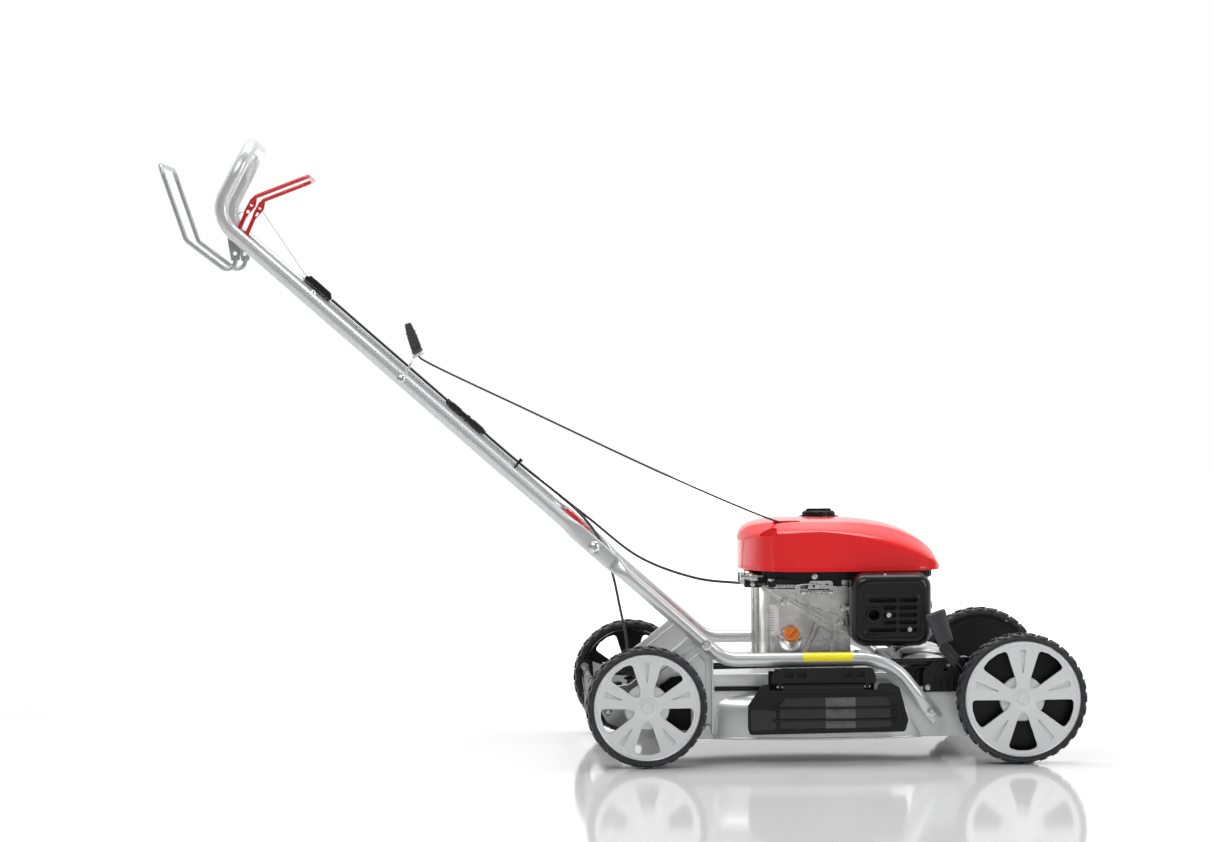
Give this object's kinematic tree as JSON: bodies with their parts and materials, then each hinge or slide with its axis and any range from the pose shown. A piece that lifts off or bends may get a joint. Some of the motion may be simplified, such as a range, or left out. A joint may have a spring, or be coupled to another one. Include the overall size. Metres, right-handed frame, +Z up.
{
  "type": "push lawn mower",
  "caption": "Walk-behind petrol rotary lawn mower with a stamped steel deck, side-discharge flap, rear drive, single-lever height adjustment and a folding tube handle with bails.",
  "frame": {"origin": "on the ground, midway along the whole machine and on its centre plane", "axes": "+X points forward, +Y to the operator's left, +Z up"},
  "size_m": [1.548, 0.571, 1.0554],
  "materials": {
    "silver_paint": "gloss",
    "grey_tube_paint": "gloss",
    "zinc": "satin",
    "dark_steel": "matte",
    "cast_aluminium": "matte",
    "red_gloss_plastic": "gloss",
    "red_paint": "gloss",
    "black_plastic": "matte",
    "black_painted_metal": "matte",
    "black_rubber": "matte",
    "tyre_rubber": "matte",
    "rim_plastic": "satin",
    "orange_plastic": "gloss"
  },
  "bodies": {
    "chassis": {"deck": "silver_paint", "rear_bracket_right": "silver_paint", "rear_bracket_left": "silver_paint", "frame_tube_right": "grey_tube_paint", "frame_tube_left": "grey_tube_paint", "fold_bolt_right": "zinc", "fold_bolt_left": "zinc", "flap_bracket": "black_plastic", "drive_belt": "black_rubber", "height_quadrant": "black_painted_metal", "crankcase": "cast_aluminium", "cylinder": "cast_aluminium", "spark_plug": "black_plastic", "engine_cover": "red_gloss_plastic", "blower_base": "black_plastic", "fuel_tank": "black_plastic", "starter_housing": "black_plastic", "muffler": "dark_steel", "muffler_guard": "black_painted_metal", "air_filter": "black_plastic", "control_plate": "zinc"},
    "crank": {"crankshaft": "dark_steel", "flywheel": "cast_aluminium", "drive_pulley": "dark_steel", "blade": "dark_steel", "blade_bolt": "zinc"},
    "gearbox_pulley": {"gearbox_pulley": "dark_steel"},
    "drive_shaft": {"drive_shaft": "zinc"},
    "clutch_lever": {"clutch_lever": "zinc"},
    "front_axle": {"front_axle": "dark_steel", "height_lever": "black_painted_metal", "height_grip": "black_plastic"},
    "rear_axle": {"rear_axle": "dark_steel", "gearbox": "black_plastic"},
    "link_rod": {"link_rod": "dark_steel"},
    "wheel_rear_right": {"tyre_rear_right": "tyre_rubber", "rim_rear_right": "rim_plastic"},
    "wheel_rear_left": {"tyre_rear_left": "tyre_rubber", "rim_rear_left": "rim_plastic"},
    "wheel_front_right": {"tyre_front_right": "tyre_rubber", "rim_front_right": "rim_plastic"},
    "wheel_front_left": {"tyre_front_left": "tyre_rubber", "rim_front_left": "rim_plastic"},
    "upper_handle": {"upper_handle": "grey_tube_paint", "rope_guide": "zinc", "starter_rope": "black_rubber", "stop_cable": "black_rubber", "drive_cable": "black_rubber", "cable_clip": "black_plastic"},
    "stop_bail": {"stop_bail": "zinc"},
    "drive_bail": {"drive_bail": "red_paint"},
    "clamp_lever_right": {"clamp_lever_right": "red_gloss_plastic"},
    "clamp_lever_left": {"clamp_lever_left": "red_gloss_plastic"},
    "starter_grip": {"starter_grip": "black_plastic"},
    "starter_pulley": {"starter_pulley": "black_plastic"},
    "brake_lever": {"brake_lever": "zinc"},
    "oil_plug": {"oil_plug": "orange_plastic"},
    "fuel_cap": {"fuel_cap": "black_plastic"},
    "discharge_flap": {"discharge_flap": "black_plastic"},
    "rear_flap": {"rear_flap": "black_rubber"}
  },
  "joints": [
    {"name": "crank_spin", "type": "hinge", "parent": "chassis", "child": "crank", "pos_m": [0.318, 0, 0.1], "axis": [0, 0, 1], "continuous": true},
    {"name": "height_adjust", "type": "hinge", "parent": "chassis", "child": "front_axle", "pos_m": [0.606, 0, 0.118], "axis": [0, 1, 0], "range_deg": [-22, 22]},
    {"name": "rear_height", "type": "hinge", "parent": "chassis", "child": "rear_axle", "pos_m": [-0.024, 0, 0.11], "axis": [0, 1, 0], "range_deg": [-22, 22], "deforming": ["drive_belt", "drive_cable"]},
    {"name": "link_rod_pivot", "type": "hinge", "parent": "front_axle", "child": "link_rod", "pos_m": [0.606, 0, 0.168], "axis": [0, 1, 0], "range_deg": [-22, 22]},
    {"name": "gearbox_pulley_spin", "type": "hinge", "parent": "rear_axle", "child": "gearbox_pulley", "pos_m": [0.02, 0, 0.13], "axis": [0, 0, 1], "continuous": true},
    {"name": "drive_shaft_spin", "type": "hinge", "parent": "rear_axle", "child": "drive_shaft", "pos_m": [0.034, 0, 0.102], "axis": [0, 1, 0], "continuous": true},
    {"name": "clutch_swing", "type": "hinge", "parent": "rear_axle", "child": "clutch_lever", "pos_m": [0.042, 0.033, 0.126], "axis": [0, 0, 1], "range_deg": [0, 15]},
    {"name": "wheel_rear_right_spin", "type": "hinge", "parent": "rear_axle", "child": "wheel_rear_right", "pos_m": [0.034, -0.26, 0.102], "axis": [0, 1, 0], "continuous": true},
    {"name": "wheel_rear_left_spin", "type": "hinge", "parent": "rear_axle", "child": "wheel_rear_left", "pos_m": [0.034, 0.26, 0.102], "axis": [0, 1, 0], "continuous": true},
    {"name": "wheel_front_right_spin", "type": "hinge", "parent": "front_axle", "child": "wheel_front_right", "pos_m": [0.664, -0.26, 0.11], "axis": [0, 1, 0], "continuous": true},
    {"name": "wheel_front_left_spin", "type": "hinge", "parent": "front_axle", "child": "wheel_front_left", "pos_m": [0.664, 0.26, 0.11], "axis": [0, 1, 0], "continuous": true},
    {"name": "handle_fold", "type": "hinge", "parent": "chassis", "child": "upper_handle", "pos_m": [-0.05, 0, 0.3675], "axis": [0, 1, 0], "range_deg": [0, 125], "deforming": ["starter_rope", "stop_cable", "drive_cable"]},
    {"name": "stop_bail_squeeze", "type": "hinge", "parent": "upper_handle", "child": "stop_bail", "pos_m": [-0.648, 0, 0.893], "axis": [0, 1, 0], "range_deg": [0, 50], "stiffness_Nm_per_rad": 1, "springref_deg": -28.65},
    {"name": "drive_bail_squeeze", "type": "hinge", "parent": "upper_handle", "child": "drive_bail", "pos_m": [-0.648, 0, 0.893], "axis": [0, -1, 0], "range_deg": [0, 33], "stiffness_Nm_per_rad": 1, "springref_deg": -17.19},
    {"name": "clamp_lever_right_swing", "type": "hinge", "parent": "chassis", "child": "clamp_lever_right", "pos_m": [-0.05, -0.2025, 0.3675], "axis": [0, -1, 0], "range_deg": [0, 100]},
    {"name": "clamp_lever_left_swing", "type": "hinge", "parent": "chassis", "child": "clamp_lever_left", "pos_m": [-0.05, 0.2025, 0.3675], "axis": [0, -1, 0], "range_deg": [0, 100]},
    {"name": "starter_pull", "type": "slide", "parent": "upper_handle", "child": "starter_grip", "axis": [-0.3206, 0, 0.9472], "range_m": [0, 0.45], "stiffness_N_per_m": 40, "springref_m": -0.3},
    {"name": "starter_spool", "type": "hinge", "parent": "chassis", "child": "starter_pulley", "pos_m": [0.318, 0, 0.365], "axis": [0, 0, 1], "range_deg": [0, 580]},
    {"name": "brake_swing", "type": "hinge", "parent": "chassis", "child": "brake_lever", "pos_m": [0.266, -0.107, 0.288], "axis": [0, 0, 1], "range_deg": [-9, 0]},
    {"name": "oil_plug_turn", "type": "hinge", "parent": "chassis", "child": "oil_plug", "pos_m": [0.291, -0.094, 0.194], "axis": [0, -0.8, 0.6], "range_deg": [0, 90]},
    {"name": "fuel_cap_turn", "type": "hinge", "parent": "chassis", "child": "fuel_cap", "pos_m": [0.358, 0.088, 0.4], "axis": [0, 0, 1], "range_deg": [0, 90]},
    {"name": "discharge_flap_lift", "type": "hinge", "parent": "chassis", "child": "discharge_flap", "pos_m": [0.34, -0.2425, 0.131], "axis": [-1, 0, 0], "range_deg": [0, 75], "stiffness_Nm_per_rad": 0.4, "springref_deg": -28.65},
    {"name": "rear_flap_swing", "type": "hinge", "parent": "chassis", "child": "rear_flap", "pos_m": [-0.05, 0, 0.126], "axis": [0, 1, 0], "range_deg": [0, 70]}
  ],
  "couplings": [
    {"joint": "rear_height", "follows": "height_adjust", "ratio": 1},
    {"joint": "link_rod_pivot", "follows": "height_adjust", "ratio": -1},
    {"joint": "gearbox_pulley_spin", "follows": "crank_spin", "ratio": 0.8333},
    {"joint": "clutch_swing", "follows": "drive_bail_squeeze", "ratio": 0.4545},
    {"joint": "starter_spool", "follows": "starter_pull", "rad_per_m": 22.22},
    {"joint": "brake_swing", "follows": "stop_bail_squeeze", "ratio": -0.16}
  ]
}
